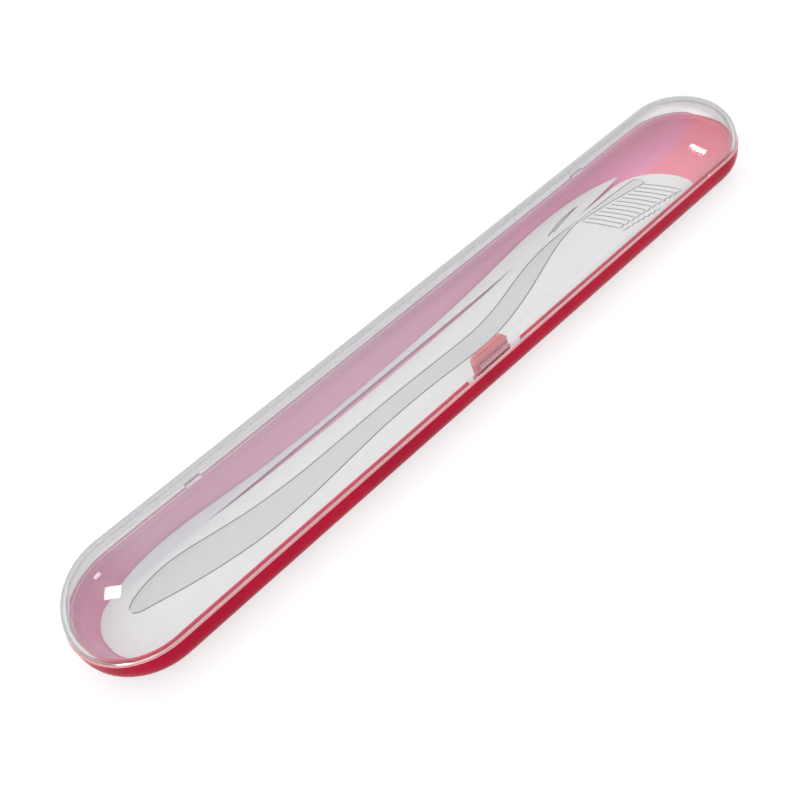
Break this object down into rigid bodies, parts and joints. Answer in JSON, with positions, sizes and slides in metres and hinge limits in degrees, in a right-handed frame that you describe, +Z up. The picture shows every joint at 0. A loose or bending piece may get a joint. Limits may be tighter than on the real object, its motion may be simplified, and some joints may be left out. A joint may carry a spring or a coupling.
{
  "type": "toothbrush case",
  "caption": "Long round-ended travel case for a toothbrush: a red tray holding a printed card, under a clear domed lid that hinges at the back and snaps shut at the front.",
  "frame": {"origin": "middle of the flat foot under the tray", "axes": "+X along the case, -Y towards the side with the snap tongue, +Z up"},
  "size_m": [0.205, 0.0332, 0.0195],
  "materials": {
    "red_plastic": "glossy, slightly translucent",
    "clear_plastic": "clear and glossy",
    "white_card": "matt white card with a grey print",
    "pin_steel": "drawn wire"
  },
  "bodies": {
    "base": {"base_tray": "red_plastic", "insert_card": "white_card", "hinge_pin_left": "pin_steel", "hinge_pin_right": "pin_steel"},
    "lid": {"lid": "clear_plastic"},
    "latch": {"latch_tongue": "red_plastic"}
  },
  "joints": [
    {"name": "lid_hinge", "type": "hinge", "parent": "base", "child": "lid", "pos_m": [0, 0.0167, 0.006], "axis": [-1, 0, 0], "range_deg": [0, 145]},
    {"name": "latch_flex", "type": "hinge", "parent": "base", "child": "latch", "pos_m": [0, -0.0132, 0.0064], "axis": [-1, 0, 0], "range_deg": [0, 8], "stiffness_Nm_per_rad": 0.02}
  ]
}
